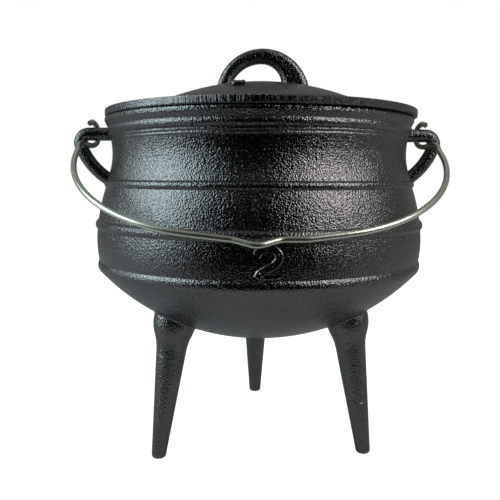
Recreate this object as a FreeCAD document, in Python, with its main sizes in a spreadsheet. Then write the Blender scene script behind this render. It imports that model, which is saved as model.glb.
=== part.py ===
import FreeCAD, Part
import Sketcher
import math
import os

# Three-legged cast-iron potjie pot: a banded round-bellied casting, a domed lid with a loop
# handle, and a bent wire bail hooked on the two cast ears. Millimetres, +Z up. The origin is on
# the floor, under the middle of the pot. The front, with the bail resting on it, faces -Y.

doc = FreeCAD.newDocument("potjie_pot")
sheet = doc.addObject("Spreadsheet::Sheet", "sizes")

SIZES = [
    # the pot's wall, from the bowl up
    ("bowl_clearance", 84, "floor to the lowest point of the bowl"),
    ("bowl_radius", 167.5, "spherical bottom, outside"),
    ("belly_radius", 125.4, "where the bottom meets the upright wall"),
    ("belly_swell", 0.7, "belly under the third band, over the belly radius"),
    ("belly_bow", 0.9, "bow of the wall between the fourth and third bands"),
    ("shoulder_bow", 0.5, "bow of the wall between the third and second bands"),
    ("shoulder_inset", 6.1, "belly radius to the wall under the second band"),
    ("neck_inset", 11.6, "belly radius to the narrowest part of the neck"),
    ("collar_flare", 1.5, "neck to the wall under the first band"),
    ("rim_flare", 5.2, "neck to the outside of the rim"),
    ("rim_face", 1.3, "upright edge of the rim"),
    ("rim_round", 2, "outer corner of the rim"),
    ("wall", 4.5, "thickness of the upright wall"),
    ("bowl_wall", 5, "thickness of the bottom"),
    ("inner_corner_run", 5, "inside corner of the belly, across"),
    ("inner_corner_rise", 14.5, "inside corner of the belly, up"),
    ("mouth_chamfer", 1, "inner edge of the rim"),
    # the raised bands, counted from the rim down
    ("band4_width", 7.1, "lowest band, at the corner of the belly"),
    ("band4_height", 1.1, "how far it stands out"),
    ("band3_rise", 34.7, "belly corner to the middle of the third band"),
    ("band3_width", 7.3, "widest band"),
    ("band3_height", 1.9, "how far it stands out"),
    ("band3_step", 0.9, "wall over the third band set in from the wall under it"),
    ("band2_rise", 30.4, "third band to second band"),
    ("band2_width", 5.8, "band on the shoulder"),
    ("band2_height", 1.75, "how far it stands out"),
    ("band2_step", 1.3, "wall over the second band set in from the wall under it"),
    ("neck_rise", 22.9, "second band to the narrowest part of the neck"),
    ("band1_rise", 16, "neck to first band"),
    ("band1_width", 6, "band under the rim"),
    ("band1_height", 1.5, "how far it stands out"),
    ("band1_step", 1.6, "wall over the first band set out from the wall under it"),
    ("rim_rise", 10.4, "first band to the top of the rim"),
    # legs
    ("leg_circle", 76.8, "axis of the pot to where the middle of a leg meets the bowl"),
    ("foot_radius", 5.3, "foot of a leg"),
    ("foot_round", 2.4, "edge of a foot"),
    ("leg_lean", 8.4, "degrees, the legs spread outwards going down"),
    ("left_leg_turn", 213, "degrees round the pot from its right side"),
    ("right_leg_turn", 330, "degrees round the pot from its right side"),
    ("back_leg_turn", 89, "degrees round the pot from its right side"),
    ("leg_radius", 11.4, "leg under its knee"),
    ("knee_radius", 16, "widest part of the knee"),
    ("knee_set", 0.8, "bowl's surface to the middle of the knee, up along the leg"),
    ("knee_round", 29.5, "profile of the knee"),
    ("knee_drop", 10.5, "middle of the knee to the start of its hollow"),
    ("knee_hollow", 10.5, "length of the hollow under the knee"),
    ("knee_hollow_round", 37, "profile of that hollow"),
    ("knee_top", 14, "middle of the knee to its end inside the bowl"),
    ("leg_root_round", 1.4, "blend from a leg into the bowl"),
    # ears
    ("ear_bar_radius", 5.15, "round bar of an ear"),
    ("ear_stand", 31.8, "neck to the outside of an ear"),
    ("ear_drop", 0.9, "first band down to the middle of the ear's top bar"),
    ("ear_bend", 7, "bend at the ear's outer corner, to the middle of the bar"),
    ("ear_turn", 110, "degrees turned by that bend"),
    ("ear_sweep", 51, "sweep of the ear down to the wall, to the middle of the bar"),
    ("ear_root", 6, "how far the ear's bar runs into the pot from the neck"),
    # lid
    ("lid_overhang", 1, "rim to the edge of the lid"),
    ("lid_shift", 1.3, "lid's play taken up to the right, as it lies"),
    ("lid_edge", 5.4, "thickness of the flange"),
    ("lid_edge_round", 1, "corners of the flange"),
    ("lid_wall", 5, "thickness of the dome"),
    ("flange_width", 28.1, "edge of the lid to the foot of the dome"),
    ("dome_height", 22.9, "flange to the top of the dome"),
    ("dome_hollow", 3, "blend from the flange into the dome"),
    ("ring_clearance", 3, "mouth to the lid's locating ring, lid centred"),
    ("ring_depth", 5, "locating ring under the seat"),
    ("ring_width", 5, "wall of the locating ring"),
    # lid handle
    ("loop_radius", 36.9, "outside of the lid's loop handle"),
    ("loop_offset", 1.7, "outside arc to the right of the lid's middle"),
    ("loop_height", 26.5, "top of the dome to the top of the loop"),
    ("loop_left_root", 10.5, "width of the loop's left end"),
    ("loop_right_root", 22.2, "width of the loop's right end"),
    ("loop_hole_offset", 0.8, "top of the hole to the right of the lid's middle"),
    ("loop_crown", 11.3, "thickness of the loop at its top"),
    ("loop_depth", 12.6, "loop from front to back"),
    ("loop_round", 4.7, "long edges of the loop"),
    ("loop_root", 1.6, "straight end of the loop, under its arcs and the dome's surface"),
    # bail
    ("wire_radius", 2.1, "bail wire"),
    ("bail_gap", 0.1, "bail to the third band, as it lies"),
    ("bail_inset", 8.8, "outside of an ear to the middle of the bail's leg"),
    ("bail_rest", 28.2, "degrees, slope of the bail as it lies"),
    ("bow_sag", 24.5, "corner that the bow rounds off to the middle stretch of the bail"),
    ("bail_leg", 31.5, "hinge line to the start of the bow"),
    ("notch_offset", 6.8, "middle of the notch, to the left of the pot's middle"),
    ("notch_width", 30, "notch that a hook hangs in"),
    ("notch_depth", 7, "depth of the notch"),
    ("notch_round", 9, "bends of the notch, to the middle of the wire"),
    ("bow_flat", 24, "middle of the pot to the end of the level stretch, on the right"),
    ("hook_gap", 1.5, "hook to the ear's bar that it swings on"),
    ("hook_entry", 3.2, "more gap where the wire comes in under the bar"),
    ("hook_lift", 0.6, "more gap where the hook comes over the bar"),
    ("hook_run", 8.3, "leg to the inner turn of the hook, along the bar"),
    ("hook_return", 3.4, "inner turn of the hook to its tip, along the bar"),
    ("hook_spread", 1.2, "leg bent outwards before the hook"),
]
for row, (alias, number, note) in enumerate(SIZES, start=1):
    sheet.set(f"A{row}", alias)
    sheet.set(f"B{row}", str(number))
    sheet.set(f"C{row}", note)
    sheet.setAlias(f"B{row}", alias)
doc.recompute()


class Size:
    """A size of the pot: its value now, and the expression that keeps it tied to the sheet."""

    def __init__(self, value, text):
        self.value = value
        self.text = text

    def __add__(self, other):
        other = size(other)
        return Size(self.value + other.value, f"({self.text} + {other.text})")

    def __sub__(self, other):
        other = size(other)
        return Size(self.value - other.value, f"({self.text} - {other.text})")

    def __mul__(self, other):
        other = size(other)
        return Size(self.value * other.value, f"({self.text} * {other.text})")

    def __truediv__(self, other):
        other = size(other)
        return Size(self.value / other.value, f"({self.text} / {other.text})")

    def __neg__(self):
        return Size(-self.value, f"(-{self.text})")

    def at_most(self, other):
        other = size(other)
        return Size(min(self.value, other.value), f"min({self.text}; {other.text})")

    def root(self):
        return Size(math.sqrt(self.value), f"sqrt({self.text})")

    def sine(self):
        return Size(math.sin(math.radians(self.value)), f"sin({self.text} * 1 deg)")

    def cosine(self):
        return Size(math.cos(math.radians(self.value)), f"cos({self.text} * 1 deg)")


def size(source):
    """The named size from the sheet, or a plain number as a size."""
    if isinstance(source, Size):
        return source
    if isinstance(source, str):
        return Size(float(sheet.get(source)), f"sizes.{source}")
    return Size(float(source), str(source))


def leg_of_triangle(slope_side, other_side):
    return (size(slope_side) * slope_side - size(other_side) * other_side).root()


def bow_radius(start, end, bow):
    """Radius of the arc from start to end that stands off its chord by bow."""
    across = end[0] - start[0]
    up = end[1] - start[1]
    bow = size(bow)
    return ((across * across + up * up) / 4 + bow * bow) / (bow * 2)


def upright_arc_radius(start, end):
    """Radius of the arc between two points that runs straight up at one of them."""
    across = end[0] - start[0]
    up = end[1] - start[1]
    if across.value < 0:
        across = -across
    return (across * across + up * up) / (across * 2)


class Outline:
    """A chain of lines and arcs in a sketch, with its corners and radii tied to the sheet."""

    def __init__(self, sketch, start):
        self.sketch = sketch
        self.here = self.point(start)
        self.first = self.here
        self.first_end = None
        self.last_end = None

    def point(self, place):
        return size(place[0]), size(place[1])

    def hold(self, kind, edge, end, distance):
        if abs(distance.value) < 1e-9:
            axis = -2 if kind == "DistanceX" else -1
            self.sketch.addConstraint(Sketcher.Constraint("PointOnObject", edge, end, axis))
            return
        if distance.value < 0:
            rule = Sketcher.Constraint(kind, edge, end, -1, 1, -distance.value)
            distance = -distance
        else:
            rule = Sketcher.Constraint(kind, -1, 1, edge, end, distance.value)
        index = self.sketch.addConstraint(rule)
        self.sketch.setExpression(f"Constraints[{index}]", distance.text)

    def join(self, edge, near, far, place):
        if self.last_end is None:
            self.hold("DistanceX", edge, near, self.here[0])
            self.hold("DistanceY", edge, near, self.here[1])
            self.first_end = (edge, near)
        else:
            self.sketch.addConstraint(Sketcher.Constraint("Coincident", *self.last_end, edge, near))
        self.last_end = (edge, far)
        self.here = place

    def line(self, x, y):
        place = self.point((x, y))
        edge = self.sketch.addGeometry(Part.LineSegment(vector(self.here), vector(place)))
        self.join(edge, 1, 2, place)
        self.hold("DistanceX", edge, 2, place[0])
        self.hold("DistanceY", edge, 2, place[1])
        return self

    def arc(self, x, y, radius, turn):
        """An arc to the point (x, y) that turns left or right on its way."""
        place = self.point((x, y))
        radius = size(radius)
        start = vector(self.here)
        end = vector(place)
        half_chord = (end - start) / 2
        side = FreeCAD.Vector(-half_chord.y, half_chord.x, 0).normalize()
        reach = math.sqrt(max(radius.value ** 2 - half_chord.Length ** 2, 0))
        left = turn == "left"
        centre = start + half_chord + side * (reach if left else -reach)
        first, last = (start, end) if left else (end, start)
        begin = math.atan2(first.y - centre.y, first.x - centre.x)
        finish = math.atan2(last.y - centre.y, last.x - centre.x)
        circle = Part.Circle(centre, FreeCAD.Vector(0, 0, 1), radius.value)
        edge = self.sketch.addGeometry(Part.ArcOfCircle(circle, begin, finish))
        near, far = (1, 2) if left else (2, 1)
        self.join(edge, near, far, place)
        self.hold("DistanceX", edge, far, place[0])
        self.hold("DistanceY", edge, far, place[1])
        index = self.sketch.addConstraint(Sketcher.Constraint("Radius", edge, radius.value))
        self.sketch.setExpression(f"Constraints[{index}]", radius.text)
        return self

    def close(self):
        edge = self.sketch.addGeometry(Part.LineSegment(vector(self.here), vector(self.first)))
        self.sketch.addConstraint(Sketcher.Constraint("Coincident", *self.last_end, edge, 1))
        self.sketch.addConstraint(Sketcher.Constraint("Coincident", *self.first_end, edge, 2))


def vector(place):
    return FreeCAD.Vector(place[0].value, place[1].value, 0)


def origin_plane(body, role):
    for feature in body.Origin.OriginFeatures:
        if feature.Role == role:
            return feature
    raise ValueError(role)


def new_body(name):
    body = doc.addObject("PartDesign::Body", name)
    body.Label = name
    return body


def new_sketch(body, name, role):
    sketch = body.newObject("Sketcher::SketchObject", name)
    sketch.AttachmentSupport = [(origin_plane(body, role), "")]
    sketch.MapMode = "FlatFace"
    return sketch


def circle_sketch(body, name, role, radius):
    sketch = new_sketch(body, name, role)
    radius = size(radius)
    middle = FreeCAD.Vector(0, 0, 0)
    edge = sketch.addGeometry(Part.Circle(middle, FreeCAD.Vector(0, 0, 1), radius.value))
    sketch.addConstraint(Sketcher.Constraint("Coincident", edge, 3, -1, 1))
    index = sketch.addConstraint(Sketcher.Constraint("Radius", edge, radius.value))
    sketch.setExpression(f"Constraints[{index}]", radius.text)
    return sketch


def turned(body, name, sketch, kind):
    feature = body.newObject(f"PartDesign::{kind}", name)
    feature.Profile = sketch
    feature.ReferenceAxis = (sketch, ["V_Axis"])
    feature.Angle = 360
    return feature


def rounded(body, name, base, edges, radius):
    feature = body.newObject("PartDesign::Fillet", name)
    feature.Base = (base, edges)
    feature.setExpression("Radius", size(radius).text)
    return feature


def edges_where(feature, test):
    """Names of the feature's edges whose middle point passes the test."""
    doc.recompute()
    names = []
    for number, edge in enumerate(feature.Shape.Edges, start=1):
        middle = edge.valueAt((edge.FirstParameter + edge.LastParameter) / 2)
        if test(edge, middle):
            names.append(f"Edge{number}")
    return names


# Two fillets that face each other across a wall take at most this share of it each, and a point
# this close to a surface lies on it
facing_fillet_share = 0.47
on_surface = 0.01

# Levels and radii that several pieces share
bowl_middle = size("bowl_clearance") + "bowl_radius"
corner_level = bowl_middle - leg_of_triangle("bowl_radius", "belly_radius")
band3_level = corner_level + "band3_rise"
band2_level = band3_level + "band2_rise"
neck_level = band2_level + "neck_rise"
band1_level = neck_level + "band1_rise"
rim_level = band1_level + "rim_rise"
neck_radius = size("belly_radius") - "neck_inset"
shoulder_radius = size("belly_radius") - "shoulder_inset"
collar_radius = neck_radius + "collar_flare"
rim_radius = neck_radius + "rim_flare"
mouth_radius = neck_radius - "wall"
bar_level = band1_level - "ear_drop"
ear_outside = neck_radius + "ear_stand"

# The pot: one casting of bowl, bands, rim, legs and ears
pot = new_body("pot")

outside = new_sketch(pot, "pot_outside", "XZ_Plane")
wall_line = Outline(outside, (0, "bowl_clearance"))
wall_line.arc("belly_radius", corner_level, "bowl_radius", "left")


def band(low, high, height):
    """A half-round bead on the outside, from its lower edge to its upper edge."""
    wall_line.arc(*high, bow_radius(low, high, height), "left")


def wall_to(place, bow):
    place = wall_line.point(place)
    wall_line.arc(*place, bow_radius(wall_line.here, place, bow), "left")


band4_low = (size("belly_radius"), corner_level)
band4_high = (size("belly_radius"), corner_level + "band4_width")
band3_low = (size("belly_radius") + "belly_swell", band3_level - size("band3_width") / 2)
band3_high = (band3_low[0] - "band3_step", band3_level + size("band3_width") / 2)
band2_low = (shoulder_radius, band2_level - size("band2_width") / 2)
band2_high = (shoulder_radius - "band2_step", band2_level + size("band2_width") / 2)
band1_low = (collar_radius, band1_level - size("band1_width") / 2)
band1_high = (collar_radius + "band1_step", band1_level + size("band1_width") / 2)
rim_low = (rim_radius, rim_level - "rim_round" - "rim_face")
band(band4_low, band4_high, "band4_height")
wall_to(band3_low, "belly_bow")
band(band3_low, band3_high, "band3_height")
wall_to(band2_low, "shoulder_bow")
band(band2_low, band2_high, "band2_height")
neck = (neck_radius, neck_level)
wall_line.arc(*neck, upright_arc_radius(band2_high, neck), "right")
wall_line.arc(*band1_low, upright_arc_radius(neck, band1_low), "right")
band(band1_low, band1_high, "band1_height")
wall_line.line(*rim_low)
wall_line.line(rim_radius, rim_level - "rim_round")
wall_line.arc(rim_radius - "rim_round", rim_level, "rim_round", "left")
wall_line.line(0, rim_level)
wall_line.close()
casting = turned(pot, "pot_turned", outside, "Revolution")

leg_lean = size("leg_lean")
leg_top = bowl_middle - leg_of_triangle("bowl_radius", "leg_circle")
leg_length = leg_top / leg_lean.cosine()
foot_circle = size("leg_circle") + leg_length * leg_lean.sine()
knee_level = leg_length + "knee_set"
knee_centre = size("knee_radius") - "knee_round"
hollow_top = knee_level - "knee_drop"
for side in ("left", "right", "back"):
    leg_plane = pot.newObject("PartDesign::Plane", f"{side}_leg_plane")
    leg_plane.AttachmentSupport = [(origin_plane(pot, "XZ_Plane"), "")]
    leg_plane.MapMode = "FlatFace"
    leg_plane.AttachmentOffset = FreeCAD.Placement(
        FreeCAD.Vector(0, 0, 0),
        FreeCAD.Rotation(FreeCAD.Vector(0, 1, 0), size(f"{side}_leg_turn").value))
    leg_plane.setExpression(".AttachmentOffset.Rotation.Angle", f"sizes.{side}_leg_turn")
    leg_outside = pot.newObject("Sketcher::SketchObject", f"{side}_leg_outside")
    leg_outside.AttachmentSupport = [(leg_plane, "")]
    leg_outside.MapMode = "FlatFace"
    leg_outside.AttachmentOffset = FreeCAD.Placement(
        FreeCAD.Vector(foot_circle.value, 0, 0),
        FreeCAD.Rotation(FreeCAD.Vector(0, 0, 1), leg_lean.value))
    leg_outside.setExpression(".AttachmentOffset.Base.x", foot_circle.text)
    leg_outside.setExpression(".AttachmentOffset.Rotation.Angle", leg_lean.text)
    leg_line = Outline(leg_outside, (0, -size("foot_radius")))
    leg_line.line("foot_radius", -size("foot_radius"))
    leg_line.line("foot_radius", 0)
    leg_line.line("leg_radius", hollow_top - "knee_hollow")
    leg_line.arc(knee_centre + leg_of_triangle("knee_round", "knee_drop"), hollow_top,
                 "knee_hollow_round", "right")
    leg_line.arc(knee_centre + leg_of_triangle("knee_round", "knee_top"), knee_level + "knee_top",
                 "knee_round", "left")
    leg_line.line(0, knee_level + "knee_top")
    leg_line.close()
    turned(pot, f"{side}_leg", leg_outside, "Revolution")

ground = circle_sketch(pot, "ground", "XY_Plane", foot_circle * 2)
feet = pot.newObject("PartDesign::Pocket", "feet_ground_flat")
feet.Profile = ground
feet.Type = "ThroughAll"
foot_edges = edges_where(feet, lambda edge, middle: abs(middle.z) < on_surface)
feet_rounded = rounded(pot, "feet_rounded", feet, foot_edges, "foot_round")

# the bowl's own seam lies in the plane y = 0, and the legs' edges on the bowl lie beside it
bowl_centre = FreeCAD.Vector(0, 0, bowl_middle.value)
bowl_reach = size("bowl_radius").value
root_edges = edges_where(
    feet_rounded, lambda edge, middle: abs(middle.y) > on_surface
    and abs(middle.distanceToPoint(bowl_centre) - bowl_reach) < on_surface)
rounded(pot, "leg_roots", feet_rounded, root_edges, "leg_root_round")

ear_path = new_sketch(pot, "ear_path", "XZ_Plane")
ear_start = neck_radius - "ear_root"
bend_middle = ear_outside - "ear_bar_radius" - "ear_bend"
below_bend = bar_level - "ear_bend"
past_side = size("ear_turn") - 90
sweep_start = (bend_middle + size("ear_bend") * past_side.cosine(),
               below_bend - size("ear_bend") * past_side.sine())
end_cosine = past_side.cosine() - (sweep_start[0] - ear_start) / "ear_sweep"
end_sine = leg_of_triangle(1, end_cosine)
sweep_end = (ear_start, sweep_start[1] - size("ear_sweep") * (end_sine - past_side.sine()))
ear_line = Outline(ear_path, (ear_start, bar_level))
ear_line.line(bend_middle, bar_level)
ear_line.arc(*sweep_start, "ear_bend", "right")
ear_line.arc(*sweep_end, "ear_sweep", "right")
ear_section = circle_sketch(pot, "ear_section", "YZ_Plane", "ear_bar_radius")
ear_section.setExpression(".AttachmentOffset.Base.z", ear_start.text)
ear_section.setExpression(".AttachmentOffset.Base.y", bar_level.text)
right_ear = pot.newObject("PartDesign::AdditivePipe", "right_ear")
right_ear.Profile = ear_section
right_ear.Spine = (ear_path, [])
ears = pot.newObject("PartDesign::Mirrored", "ears")
ears.Originals = [right_ear]
ears.MirrorPlane = (origin_plane(pot, "YZ_Plane"), [""])
pot.Tip = ears

inside = new_sketch(pot, "pot_inside", "XZ_Plane")
inner_bowl = size("bowl_radius") - "bowl_wall"
inner_belly = size("belly_radius") - "wall"
corner_inside = inner_belly - "inner_corner_run"
corner_inside_level = bowl_middle - leg_of_triangle(inner_bowl, corner_inside)
belly_inside = (inner_belly, corner_inside_level + "inner_corner_rise")
shoulder_inside = (shoulder_radius - size("band2_step") / 2 - "wall", band2_level)
inner_line = Outline(inside, (0, size("bowl_clearance") + "bowl_wall"))
inner_line.arc(corner_inside, corner_inside_level, inner_bowl, "left")
inner_line.arc(*belly_inside, upright_arc_radius((corner_inside, corner_inside_level), belly_inside),
               "left")
inner_line.line(inner_belly, band3_level)
inner_line.arc(*shoulder_inside,
               bow_radius((inner_belly, band3_level), shoulder_inside, "shoulder_bow"), "left")
inner_line.arc(mouth_radius, neck_level,
               upright_arc_radius(shoulder_inside, (mouth_radius, neck_level)), "right")
inner_line.line(mouth_radius, rim_level - "mouth_chamfer")
inner_line.line(mouth_radius + size("mouth_chamfer") * 2, rim_level + "mouth_chamfer")
inner_line.line(0, rim_level + "mouth_chamfer")
inner_line.close()
hollow = turned(pot, "pot_hollow", inside, "Groove")
pot.Tip = hollow

# The lid: flange, dome, locating ring and loop handle in one casting
lid = new_body("lid")
lid.setExpression(".Placement.Base.x", "sizes.lid_shift")

lid_radius = rim_radius + "lid_overhang"
flange_top = rim_level + "lid_edge"
dome_foot = lid_radius - "flange_width"
dome_radius = (dome_foot * dome_foot / "dome_height" + "dome_height") / 2
dome_top = flange_top + "dome_height"
dome_middle = dome_top - dome_radius
ring_outside = mouth_radius - "ring_clearance"
ring_bottom = rim_level - "ring_depth"

# the blend sits in the corner between flange and dome, tangent to both
blend_reach = leg_of_triangle(dome_radius + "dome_hollow", flange_top + "dome_hollow" - dome_middle)
blend_share = dome_radius / (dome_radius + "dome_hollow")
blend_top = (blend_reach * blend_share,
             dome_middle + (flange_top + "dome_hollow" - dome_middle) * blend_share)

loop_outline = new_sketch(lid, "loop_outline", "XZ_Plane")
loop_top = dome_top + "loop_height"
loop_middle = loop_top - "loop_radius"
loop_left = size("loop_offset") - "loop_radius"
loop_right = size("loop_offset") + "loop_radius"
hole_left = loop_left + "loop_left_root"
hole_right = loop_right - "loop_right_root"
hole_radius_left = size("loop_hole_offset") - hole_left
hole_radius_right = hole_right - "loop_hole_offset"
hole_top = loop_top - "loop_crown"
hole_middle_left = hole_top - hole_radius_left
hole_middle_right = hole_top - hole_radius_right
dome_at_loop = dome_middle + leg_of_triangle(dome_radius, loop_right)
hole_middle = hole_middle_left.at_most(hole_middle_right)
loop_base = loop_middle.at_most(hole_middle).at_most(dome_at_loop) - "loop_root"
loop_line = Outline(loop_outline, (loop_right, loop_base))
loop_line.line(loop_right, loop_middle)
loop_line.arc("loop_offset", loop_top, "loop_radius", "left")
loop_line.arc(loop_left, loop_middle, "loop_radius", "left")
loop_line.line(loop_left, loop_base)
loop_line.line(hole_left, loop_base)
loop_line.line(hole_left, hole_middle_left)
loop_line.arc("loop_hole_offset", hole_top, hole_radius_left, "right")
loop_line.arc(hole_right, hole_middle_right, hole_radius_right, "right")
loop_line.line(hole_right, loop_base)
loop_line.close()
loop = lid.newObject("PartDesign::Pad", "loop")
loop.Profile = loop_outline
loop.SideType = "Symmetric"
loop.setExpression("Length", "sizes.loop_depth")
half_depth = size("loop_depth").value / 2
loop_edges = edges_where(loop, lambda edge, middle: abs(abs(middle.y) - half_depth) < on_surface
                         and middle.z > loop_base.value + on_surface)
arcs_aside = size("loop_offset") - "loop_hole_offset"
edge_round = size("loop_round").at_most(size("loop_depth") * facing_fillet_share)
for hole_radius, middle in ((hole_radius_left, hole_middle_left), (hole_radius_right, hole_middle_right)):
    arcs_apart = (arcs_aside * arcs_aside + (middle - loop_middle) * (middle - loop_middle)).root()
    thinnest = size("loop_radius") - hole_radius - arcs_apart
    edge_round = edge_round.at_most(thinnest * facing_fillet_share)
loop_rounded = rounded(lid, "loop_rounded", loop, loop_edges, edge_round)

lid_outside = new_sketch(lid, "lid_outside", "XZ_Plane")
lid_line = Outline(lid_outside, (0, ring_bottom))
lid_line.line(ring_outside, ring_bottom)
lid_line.line(ring_outside, rim_level)
lid_line.line(lid_radius - "lid_edge_round", rim_level)
lid_line.arc(lid_radius, rim_level + "lid_edge_round", "lid_edge_round", "left")
lid_line.line(lid_radius, flange_top - "lid_edge_round")
lid_line.arc(lid_radius - "lid_edge_round", flange_top, "lid_edge_round", "left")
lid_line.line(blend_reach, flange_top)
lid_line.arc(*blend_top, "dome_hollow", "right")
lid_line.arc(0, dome_top, dome_radius, "left")
lid_line.close()
lid_turned = turned(lid, "lid_turned", lid_outside, "Revolution")

lid_inside = new_sketch(lid, "lid_inside", "XZ_Plane")
ring_inside = ring_outside - "ring_width"
inner_dome = dome_radius - "lid_wall"
under_line = Outline(lid_inside, (0, ring_bottom - "ring_depth"))
under_line.line(ring_inside, ring_bottom - "ring_depth")
under_line.line(ring_inside, rim_level)
under_line.line(leg_of_triangle(inner_dome, rim_level - dome_middle), rim_level)
under_line.arc(0, dome_top - "lid_wall", inner_dome, "left")
under_line.close()
lid_hollow = turned(lid, "lid_hollow", lid_inside, "Groove")
lid.Tip = lid_hollow

# The bail: one bent wire, drawn level with its legs towards -Y, then laid down on the front
leg_x = (ear_outside - "bail_inset").value
crest_radius = (band3_low[0] + band3_high[0]) / 2 + "band3_height"
reach = ((crest_radius + "bail_gap" + "wire_radius") / size("bail_rest").cosine()).value
corner_reach = reach - size("bow_sag").value
notch_middle = -size("notch_offset").value
half_notch = size("notch_width").value / 2
leg_end = size("bail_leg").value
bow_end = size("bow_flat").value


def level_point(x, away):
    """A point in the bail's plane, at a distance from the hinge line."""
    return FreeCAD.Vector(x, -away, 0)


def bent_wire(corners):
    """Edges through the corners, each corner rounded to its own radius, open at both ends."""
    edges = []
    here = corners[0][0]
    for (before, _), (corner, radius), (after, _) in zip(corners, corners[1:], corners[2:]):
        back = (before - corner).normalize()
        on = (after - corner).normalize()
        half_angle = back.getAngle(on) / 2
        cut = radius / math.tan(half_angle)
        to_middle = (back + on).normalize()
        middle = corner + to_middle * (radius / math.sin(half_angle) - radius)
        edges.append(Part.makeLine(here, corner + back * cut))
        edges.append(Part.Arc(corner + back * cut, middle, corner + on * cut).toShape())
        here = corner + on * cut
    edges.append(Part.makeLine(here, corners[-1][0]))
    return edges


def corner_radius(corner, leg_point, after):
    """Radius that starts the rounding of the corner at a chosen point of the leg."""
    half_angle = (leg_point - corner).getAngle(after - corner) / 2
    return corner.distanceToPoint(leg_point) * math.tan(half_angle)


left_corner = level_point(-leg_x, corner_reach)
right_corner = level_point(leg_x, corner_reach)
notch_left = level_point(notch_middle - half_notch, reach)
notch_tip = level_point(notch_middle, reach + size("notch_depth").value)
notch_right = level_point(notch_middle + half_notch, reach)
flat_end = level_point(bow_end, reach)
notch_round = size("notch_round").value
left_start = level_point(-leg_x, leg_end)
right_start = level_point(leg_x, leg_end)
joint = size("wire_radius").value
bow = bent_wire([
    (level_point(-leg_x, leg_end - joint), 0),
    (left_corner, corner_radius(left_corner, left_start, notch_left)),
    (notch_left, notch_round),
    (notch_tip, notch_round),
    (notch_right, notch_round),
    (flat_end, notch_round * 2),
    (right_corner, corner_radius(right_corner, right_start, flat_end)),
    (level_point(leg_x, leg_end - joint), 0),
])

bar_gap = size("ear_bar_radius").value + size("wire_radius").value + size("hook_gap").value
entry = size("hook_entry").value
lift = size("hook_lift").value
run = size("hook_run").value
tip_back = size("hook_return").value
spread = size("hook_spread").value


def round_bar(x, away, turn):
    """A point of the hook: its distance from the bar's middle, turned under and round the bar."""
    angle = math.radians(turn)
    return FreeCAD.Vector(x, -away * math.cos(angle), -away * math.sin(angle))


# The hook comes in under the bar, climbs round it while it runs inwards, and turns back at its tip
hook_points = [
    level_point(leg_x, leg_end - joint),
    round_bar(leg_x + spread, leg_end * 0.62, 1),
    round_bar(leg_x - 0.05 * run, bar_gap + entry, 12),
    round_bar(leg_x - 0.5 * run, bar_gap + 0.3 * entry, 38),
    round_bar(leg_x - 0.76 * run, bar_gap, 72),
    round_bar(leg_x - 0.95 * run, bar_gap, 112),
    round_bar(leg_x - run, bar_gap, 155),
    round_bar(leg_x - run + 0.22 * tip_back, bar_gap + 0.5 * lift, 200),
    round_bar(leg_x - run + 0.64 * tip_back, bar_gap + lift, 238),
    round_bar(leg_x - run + tip_back, bar_gap + 0.7 * lift, 270),
]
right_hook = Part.BSplineCurve()
right_hook.interpolate(Points=hook_points, InitialTangent=FreeCAD.Vector(0, 1, 0),
                       FinalTangent=(hook_points[-1] - hook_points[-2]).normalize())
left_hook = right_hook.toShape().mirror(FreeCAD.Vector(0, 0, 0), FreeCAD.Vector(1, 0, 0))

bail_line = Part.Wire(Part.__sortEdges__([left_hook, *bow, right_hook.toShape()]))
tip = hook_points[-1]
end_section = Part.Wire(Part.makeCircle(size("wire_radius").value, tip, tip - hook_points[-2]))
bail_shape = bail_line.makePipeShell([end_section], True, False)

bail = doc.addObject("Part::Feature", "bail")
bail.Label = "bail"
bail.Shape = bail_shape
bail.Placement = FreeCAD.Placement(
    FreeCAD.Vector(0, 0, bar_level.value),
    FreeCAD.Rotation(FreeCAD.Vector(1, 0, 0), size("bail_rest").value))

doc.recompute()
failed = [item.Name for item in doc.Objects if "Invalid" in item.State or "Error" in item.State]
if failed:
    raise RuntimeError(f"features that did not build: {failed}")
os.makedirs("parts", exist_ok=True)
for piece in (pot, lid, bail):
    if piece.Shape.isNull() or not piece.Shape.isValid() or len(piece.Shape.Solids) != 1:
        raise RuntimeError(f"{piece.Label} is not one sound solid")
    piece.Shape.exportStep(f"parts/{piece.Label}.step")
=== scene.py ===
"""Looks of the potjie pot: cast-iron finishes, raised numerals, mould lines and the studio."""

import math

import bpy
from mathutils import Matrix, Vector


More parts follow.
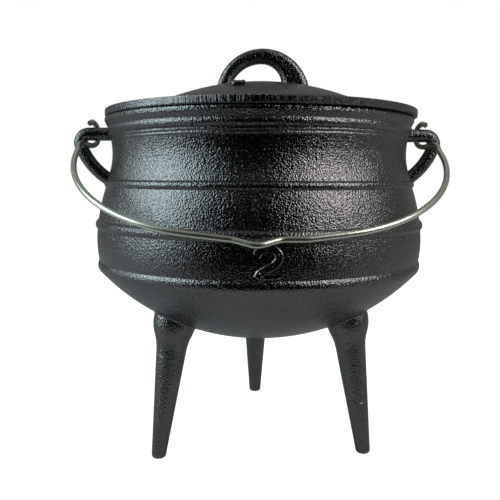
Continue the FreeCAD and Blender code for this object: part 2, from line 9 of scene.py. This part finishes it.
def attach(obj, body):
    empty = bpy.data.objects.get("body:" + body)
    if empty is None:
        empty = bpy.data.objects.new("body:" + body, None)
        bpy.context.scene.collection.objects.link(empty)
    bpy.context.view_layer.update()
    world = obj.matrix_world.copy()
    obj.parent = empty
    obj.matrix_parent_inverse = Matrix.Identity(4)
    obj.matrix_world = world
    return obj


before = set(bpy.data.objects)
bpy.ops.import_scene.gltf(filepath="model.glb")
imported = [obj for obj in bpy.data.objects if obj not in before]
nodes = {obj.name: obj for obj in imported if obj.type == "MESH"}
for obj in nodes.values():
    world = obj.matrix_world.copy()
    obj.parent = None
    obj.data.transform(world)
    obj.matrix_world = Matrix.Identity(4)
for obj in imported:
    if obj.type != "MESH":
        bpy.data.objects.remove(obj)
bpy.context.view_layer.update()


class Amount:
    """A value that varies over a surface; sums written with it become the shader's maths."""

    def __init__(self, finish, socket):
        self.finish = finish
        self.socket = socket

    def _sum(self, operation, first, second=0.0, clamp=False):
        made = self.finish.node("Math", {"operation": operation, "use_clamp": clamp},
                                {0: first, 1: second})
        return made("Value")

    def __add__(self, other):
        return self._sum("ADD", self, other)

    def __radd__(self, other):
        return self._sum("ADD", other, self)

    def __sub__(self, other):
        return self._sum("SUBTRACT", self, other)

    def __rsub__(self, other):
        return self._sum("SUBTRACT", other, self)

    def __mul__(self, other):
        return self._sum("MULTIPLY", self, other)

    def __rmul__(self, other):
        return self._sum("MULTIPLY", other, self)

    def size(self):
        return self._sum("ABSOLUTE", self)

    def root(self):
        return self._sum("SQRT", self)

    def within(self):
        """Kept between 0 and 1."""
        return self._sum("ADD", self, 0.0, clamp=True)

    def rise(self, start, end):
        """0 before start, 1 after end, a smooth step between; start may lie after end."""
        low, high = min(start, end), max(start, end)
        made = self.finish.node("MapRange", {"interpolation_type": "SMOOTHSTEP"},
                                {"Value": self, "From Min": low, "From Max": high})
        step = made("Result")
        return step if start < end else 1.0 - step

    def bump_at(self, place, half_width):
        """1 at the place, falling smoothly to 0 half a width away on both sides."""
        return (self - place).size().rise(half_width, 0.0)


class Finish:
    """One finish: a principled surface whose varying values are built from Amounts."""

    def __init__(self, name, metallic=0.0):
        self.material = bpy.data.materials.new(name)
        self.material.use_nodes = True
        self.tree = self.material.node_tree
        self.surface = self.tree.nodes["Principled BSDF"]
        self.surface.inputs["Metallic"].default_value = metallic
        self.place = self.node("TexCoord")("Object")
        split = self.node("SeparateXYZ", values={0: self.place})
        self.x = split("X")
        self.y = split("Y")
        self.z = split("Z")

    def node(self, kind, settings=None, values=None):
        """Makes a node, sets or links its inputs, and gives back a picker of its outputs."""
        made = self.tree.nodes.new("ShaderNode" + kind)
        for key, setting in (settings or {}).items():
            setattr(made, key, setting)
        for key, value in (values or {}).items():
            if isinstance(value, Amount):
                self.tree.links.new(value.socket, made.inputs[key])
            else:
                made.inputs[key].default_value = value
        return lambda output: Amount(self, made.outputs[output])

    def from_axis(self):
        """Distance from the pot's upright axis."""
        return (self.x * self.x + self.y * self.y).root()

    def stretched(self, x, y, z):
        """The object's coordinates, stretched along each axis."""
        return self.node("VectorMath", {"operation": "MULTIPLY"},
                         {0: self.place, 1: (x, y, z)})("Vector")

    def noise(self, scale, detail=2.0, roughness=0.5, place=None):
        """Soft noise, with so many waves to the metre."""
        made = self.node("TexNoise", values={
            "Vector": place or self.place, "Scale": scale, "Detail": detail,
            "Roughness": roughness})
        return made("Fac")

    def grains(self, scale, smoothness):
        """Distance to the nearest of many scattered points: small round grains."""
        made = self.node("TexVoronoi", {"feature": "SMOOTH_F1"}, {
            "Vector": self.place, "Scale": scale, "Smoothness": smoothness})
        return made("Distance")

    def blend(self, share, first, second):
        """A colour between two colours."""
        made = self.node("Mix", {"data_type": "RGBA"}, {0: share, 6: first, 7: second})
        return made(2)

    def colour(self, amount):
        self._feed("Base Color", amount)

    def roughness(self, amount):
        self._feed("Roughness", amount)

    def relief(self, height, distance):
        """Fine relief of the surface: height from 0 to 1, over a distance in metres."""
        bump = self.node("Bump", values={"Strength": 1.0, "Distance": distance, "Height": height})
        self._feed("Normal", bump("Normal"))

    def _feed(self, name, amount):
        self.tree.links.new(amount.socket, self.surface.inputs[name])


def grey(level):
    return (level, level, level, 1)


# Sand-cast iron: scales are waves to the metre, weights are shares of the relief's depth
GRAIN_SCALE, GRAIN_SMOOTHNESS, GRAIN_WEIGHT = 800, 0.35, 0.9
FINE_SCALE, FINE_WEIGHT = 1250, 0.7
PEBBLE_WEIGHT, PEBBLE_MIDDLE = 1.12, 0.75
SWELL_SCALE, SWELL_WEIGHT = 40, 1.6
RELIEF_DEPTH = 0.00030
TONE_SCALE, TONE_RANGE = 35, 0.6
DARKER, LIGHTER = 0.7, 1.3
PIT_DULLNESS = 0.30
DULL_SCALE, DULL_RANGE = 120, 0.03

# Ledges under the first band, and the slanting seam of the mould across the legs
LEDGE_LEVELS, LEDGE_HALF_WIDTH, LEDGE_WEIGHT = (0.2403, 0.2380), 0.0010, 1.6
LEDGE_INNER, LEDGE_OUTER = 0.1180, 0.1190
WAVE_SCALE, WAVE_HEIGHT = 30, 0.0012
SEAM_LEVEL, SEAM_SLOPE, SEAM_HALF_WIDTH, SEAM_WEIGHT = 0.0600, 0.25, 0.0007, 1.2
SEAM_LAST, SEAM_END = 0.0825, 0.0835

# The lid's ground edge
EDGE_START, EDGE_FULL = 0.1189, 0.1196
SCRATCH_ACROSS, SCRATCH_UP, SCRATCH_WEIGHT = 700, 25, 2.2

NUMERAL_RELIEF = 0.35


def casting(name, level, roughness, details):
    """Seasoned iron: near black, with the fine pebbling of the sand it was cast in."""
    iron = Finish(name, metallic=1.0)
    pebble = (iron.grains(GRAIN_SCALE, GRAIN_SMOOTHNESS) * GRAIN_WEIGHT
              + iron.noise(FINE_SCALE, detail=1.0) * FINE_WEIGHT)
    swell = iron.noise(SWELL_SCALE)
    iron.relief(details(iron, pebble * PEBBLE_WEIGHT + swell * SWELL_WEIGHT), RELIEF_DEPTH)
    tone = (iron.noise(TONE_SCALE, detail=3.0) - 0.5) * TONE_RANGE + 0.5
    iron.colour(iron.blend(tone.within(), grey(level * DARKER), grey(level * LIGHTER)))
    pits = (pebble - PEBBLE_MIDDLE) * PIT_DULLNESS
    patches = (iron.noise(DULL_SCALE) - 0.5) * DULL_RANGE
    iron.roughness((roughness + pits + patches).within())
    return iron


def pot_details(iron, relief):
    """Fine ledges under the first band, and the mould's seam across the legs."""
    on_wall = iron.from_axis().rise(LEDGE_OUTER, LEDGE_INNER)
    wave = (iron.noise(WAVE_SCALE, detail=1.0) - 0.5) * WAVE_HEIGHT
    for level in LEDGE_LEVELS:
        ledge = (iron.z + wave).bump_at(level, LEDGE_HALF_WIDTH)
        relief = relief + ledge * on_wall * LEDGE_WEIGHT
    seam = (iron.z + iron.x * SEAM_SLOPE + wave).bump_at(SEAM_LEVEL, SEAM_HALF_WIDTH)
    return relief + seam * iron.z.rise(SEAM_END, SEAM_LAST) * SEAM_WEIGHT


def lid_details(iron, relief):
    """The lid's edge is ground: upright scratches take the place of the pebbling."""
    edge = iron.from_axis().rise(EDGE_START, EDGE_FULL)
    along = iron.stretched(SCRATCH_ACROSS, SCRATCH_ACROSS, SCRATCH_UP)
    scratches = iron.noise(1.0, detail=3.0, roughness=0.7, place=along)
    return relief * (1.0 - edge) + scratches * edge * SCRATCH_WEIGHT


def numeral_details(iron, relief):
    """Raised strokes are rubbed smoother than the casting round them."""
    return relief * NUMERAL_RELIEF


pot_iron = casting("pot iron", level=0.18, roughness=0.18, details=pot_details)
lid_iron = casting("lid iron", level=0.18, roughness=0.19, details=lid_details)
numeral_iron = casting("numeral iron", level=0.26, roughness=0.24, details=numeral_details)

# The bail's zinc, greenish and slightly streaky
ZINC_DARK, ZINC_LIGHT = (0.66, 0.70, 0.57, 1), (0.90, 0.94, 0.80, 1)
STREAK_SCALE, RUB_SCALE, SPANGLE_SCALE = 300, 700, 900
RUBBED, DULLED = 0.24, 0.12
SPANGLE_DEPTH = 0.00002
wire_zinc = Finish("bail zinc", metallic=1.0)
streaks = wire_zinc.noise(STREAK_SCALE, detail=3.0)
wire_zinc.colour(wire_zinc.blend(streaks, ZINC_DARK, ZINC_LIGHT))
wire_zinc.roughness(RUBBED + DULLED * wire_zinc.noise(RUB_SCALE))
wire_zinc.relief(wire_zinc.noise(SPANGLE_SCALE), SPANGLE_DEPTH)

for node, finish in (("pot", pot_iron), ("lid", lid_iron), ("bail", wire_zinc)):
    for material_slot in nodes[node].material_slots:
        material_slot.material = finish.material

# The numeral's stroke, as two bends and a bar, in millimetres from the numeral's middle
STROKE = (
    # across, up, and how the stroke passes
    (-7.3, 4.4, "AUTO"), (-5.2, 7.6, "AUTO"), (-0.4, 8.9, "AUTO"), (4.6, 7.4, "AUTO"),
    (6.4, 3.6, "AUTO"), (4.0, -0.8, "AUTO"), (-1.2, -3.8, "AUTO"), (-6.6, -7.4, "VECTOR"),
    (-1.0, -7.6, "AUTO"), (4.4, -7.4, "AUTO"), (6.9, -6.9, "AUTO"),
)
MILLIMETRE = 0.001
FACE_ANGLE = math.radians(25)

BELLY_RADIUS, BELLY_PLACE = 0.1262, (0.0004, 0.1590)
BELLY_FACE = 0.0010
DOME_RADIUS, DOME_MIDDLE, DOME_PLACE = 0.1959, (0.0013, 0.0, 0.0873), (-0.0168, -0.0500)
DOME_LIFT, DOME_FACE_LEVEL = 0.0009, 0.2789


def on_belly(across, up):
    x = BELLY_PLACE[0] + across
    return x, -math.sqrt(BELLY_RADIUS ** 2 - x ** 2), BELLY_PLACE[1] + up


def on_dome(across, up):
    x, y = DOME_PLACE[0] + across, DOME_PLACE[1] + up
    fall = (x - DOME_MIDDLE[0]) ** 2 + y ** 2
    return x, y, DOME_MIDDLE[2] + math.sqrt(DOME_RADIUS ** 2 - fall) + DOME_LIFT


class Ground:
    """The surface under a numeral: its points, the axis out of it, and the numeral's level face."""

    def __init__(self, point, axis, flatness, face_place, outwards):
        self.point = point
        self.axis = axis
        self.flatness = flatness
        self.middle = point(0, 0)
        self.face_place = face_place
        self.outwards = outwards


def raised_numeral(name, ground, scale, thickness, finish):
    """A numeral laid on its ground: a round bead, pressed flat, with its front cut level."""
    bpy.ops.object.select_all(action="DESELECT")
    bpy.ops.curve.primitive_bezier_curve_add(location=(0, 0, 0))
    numeral = bpy.context.object
    numeral.name = name
    line = numeral.data
    line.splines.clear()
    path = line.splines.new("BEZIER")
    path.bezier_points.add(len(STROKE) - 1)
    low = ground.middle[ground.axis]
    for knot, (across, up, handle) in zip(path.bezier_points, STROKE):
        place = Vector(ground.point(across * scale * MILLIMETRE, up * scale * MILLIMETRE))
        place[ground.axis] = low + (place[ground.axis] - low) / ground.flatness
        knot.co = place
        knot.handle_left_type = handle
        knot.handle_right_type = handle
    line.dimensions = "3D"
    line.resolution_u = 8
    line.bevel_depth = thickness
    line.bevel_resolution = 5
    line.use_fill_caps = True
    bpy.ops.object.convert(target="MESH")
    numeral = bpy.context.object
    bpy.ops.object.mode_set(mode="EDIT")
    bpy.ops.mesh.select_all(action="SELECT")
    flatten = [1, 1, 1]
    flatten[ground.axis] = ground.flatness
    bpy.ops.transform.resize(value=flatten, center_override=ground.middle)
    bpy.ops.mesh.bisect(plane_co=ground.face_place, plane_no=ground.outwards,
                        use_fill=True, clear_outer=True)
    bpy.ops.mesh.select_all(action="SELECT")
    bpy.ops.mesh.normals_make_consistent(inside=False)
    bpy.ops.object.mode_set(mode="OBJECT")
    bpy.ops.object.shade_smooth_by_angle(angle=FACE_ANGLE)
    numeral.data.materials.clear()
    numeral.data.materials.append(finish.material)
    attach(numeral, "pot")


belly = Ground(on_belly, axis=1, flatness=0.55,
               face_place=(0, -BELLY_RADIUS - BELLY_FACE, 0), outwards=(0, -1, 0))
dome = Ground(on_dome, axis=2, flatness=0.95,
              face_place=(0, 0, DOME_FACE_LEVEL), outwards=(0, 0, 1))
raised_numeral("belly_numeral", belly, scale=1.0, thickness=0.0028,
               finish=numeral_iron)
raised_numeral("lid_numeral", dome, scale=0.55, thickness=0.0015,
               finish=lid_iron)

# Camera, as the photo was taken
CAMERA_PLACE = (-0.022585, -0.485820, 0.2119)
HEADING, PITCH, ROLL = math.radians(-1.87), math.radians(7.08), math.radians(0.19)
LEVEL = math.radians(90)
SENSOR_WIDTH, LENS = 36.0, 43.394
camera_data = bpy.data.cameras.new("camera")
camera_data.sensor_width = SENSOR_WIDTH
camera_data.lens = LENS
camera = bpy.data.objects.new("camera", camera_data)
bpy.context.scene.collection.objects.link(camera)
camera.matrix_world = (
    Matrix.Translation(CAMERA_PLACE)
    @ Matrix.Rotation(HEADING, 4, "Z")
    @ Matrix.Rotation(LEVEL - PITCH, 4, "X")
    @ Matrix.Rotation(ROLL, 4, "Z"))
bpy.context.scene.camera = camera

# Studio
POT_MIDDLE = (0, 0, 0.20)


def area_light(name, place, width, height, power, colour):
    lamp = bpy.data.lights.new(name, "AREA")
    lamp.shape = "RECTANGLE"
    lamp.size = width
    lamp.size_y = height
    lamp.energy = power
    lamp.color = colour
    holder = bpy.data.objects.new(name, lamp)
    holder.location = place
    aim = Vector(POT_MIDDLE) - Vector(place)
    holder.rotation_euler = aim.to_track_quat("-Z", "Y").to_euler()
    bpy.context.scene.collection.objects.link(holder)


area_light("left_window", place=(-1.52, -0.30, 0.90), width=1.2, height=1.3,
           power=16, colour=(0.76, 0.95, 1.0))
area_light("right_window", place=(1.16, -0.80, 1.08), width=0.70, height=1.1,
           power=10.5, colour=(1.0, 0.96, 0.95))
area_light("top_light", place=(0.0, 0.35, 1.8), width=1.0, height=1.0,
           power=0.8, colour=(1.0, 1.0, 1.0))

# Floor: it glows for the camera, and is plain grey paper for the pot's light and reflections
FLOOR_SIZE, FLOOR_FRONT = 4.0, -0.27
GLOW_NEAR, GLOW_MORE, GLOW_START, GLOW_FULL = 0.88, 0.12, 0.25, 0.80
PAPER_LEVEL, PAPER_ROUGHNESS, SEEN_LEVEL = 0.58, 0.9, 0.8
bpy.ops.object.select_all(action="DESELECT")
bpy.ops.mesh.primitive_plane_add(size=FLOOR_SIZE, location=(0, 0, 0))
floor = bpy.context.object
floor.name = "floor"
bpy.ops.object.mode_set(mode="EDIT")
bpy.ops.mesh.select_all(action="SELECT")
bpy.ops.transform.translate(value=(0, FLOOR_FRONT + FLOOR_SIZE / 2, 0))
bpy.ops.object.mode_set(mode="OBJECT")
paper = Finish("studio paper")
paper.surface.inputs["Base Color"].default_value = grey(PAPER_LEVEL)
paper.surface.inputs["Roughness"].default_value = PAPER_ROUGHNESS
away = paper.from_axis().rise(GLOW_START, GLOW_FULL)
glow = paper.node("Emission", values={"Color": grey(1), "Strength": GLOW_NEAR + GLOW_MORE * away})
lit = paper.node("BsdfDiffuse", values={"Color": grey(SEEN_LEVEL)})
seen = paper.node("AddShader", values={0: glow("Emission"), 1: lit("BSDF")})
ray = paper.node("LightPath")
choice = paper.node("MixShader", values={0: ray("Is Camera Ray"), 2: seen("Shader")})
mixed = choice("Shader").socket
paper.tree.links.new(paper.surface.outputs["BSDF"], mixed.node.inputs[1])
paper.tree.links.new(mixed, paper.tree.nodes["Material Output"].inputs["Surface"])
floor.data.materials.append(paper.material)

# Surroundings: white to the camera, else dim behind the pot and dark on the camera's side
DARK_FRONT, DIM_BACK = 0.002, 0.19
FRONT_END, BACK_START = -0.8, -0.1
world = bpy.data.worlds.new("studio")
world.use_nodes = True
sky = world.node_tree
direction = sky.nodes.new("ShaderNodeTexCoord")
split = sky.nodes.new("ShaderNodeSeparateXYZ")
sky.links.new(direction.outputs["Generated"], split.inputs[0])
side = sky.nodes.new("ShaderNodeMapRange")
side.interpolation_type = "SMOOTHSTEP"
sky.links.new(split.outputs["Y"], side.inputs["Value"])
side.inputs["From Min"].default_value = FRONT_END
side.inputs["From Max"].default_value = BACK_START
side.inputs["To Min"].default_value = DARK_FRONT
side.inputs["To Max"].default_value = DIM_BACK
camera_ray = sky.nodes.new("ShaderNodeLightPath")
strength = sky.nodes.new("ShaderNodeMix")
sky.links.new(camera_ray.outputs["Is Camera Ray"], strength.inputs[0])
sky.links.new(side.outputs["Result"], strength.inputs[2])
strength.inputs[3].default_value = 1.0
sky.links.new(strength.outputs[0], sky.nodes["Background"].inputs["Strength"])
sky.nodes["Background"].inputs["Color"].default_value = grey(1)
bpy.context.scene.world = world
bpy.context.scene.view_settings.view_transform = "Standard"
